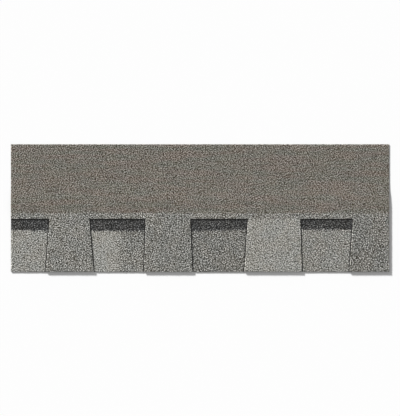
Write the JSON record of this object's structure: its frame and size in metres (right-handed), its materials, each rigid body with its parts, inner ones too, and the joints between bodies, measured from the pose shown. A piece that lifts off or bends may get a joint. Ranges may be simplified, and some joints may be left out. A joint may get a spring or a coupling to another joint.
{
  "type": "laminated asphalt shingle",
  "caption": "Laminated asphalt roof shingle: a sheet with flared tabs and cut-outs along its lower half, bonded to a plain backing strip, lying flat.",
  "frame": {"origin": "middle of the shingle's plan, on the level surface that it lies on", "axes": "+X along the butt edge, to the right when seen from above with the headlap up; +Y up the roof slope, from the butt edge to the headlap's top edge; +Z out of the weather face"},
  "size_m": [1, 0.337, 0.0057],
  "materials": {
    "overlay_granules": "matte",
    "backing_granules": "matte",
    "laminating_asphalt": "satin",
    "sealant_asphalt": "gloss",
    "clear_film": "gloss"
  },
  "bodies": {
    "root": {"overlay_sheet": "overlay_granules", "backing_sheet": "backing_granules", "laminating_adhesive": "laminating_asphalt", "sealant_strip": "sealant_asphalt", "release_tape": "clear_film"}
  },
  "joints": []
}
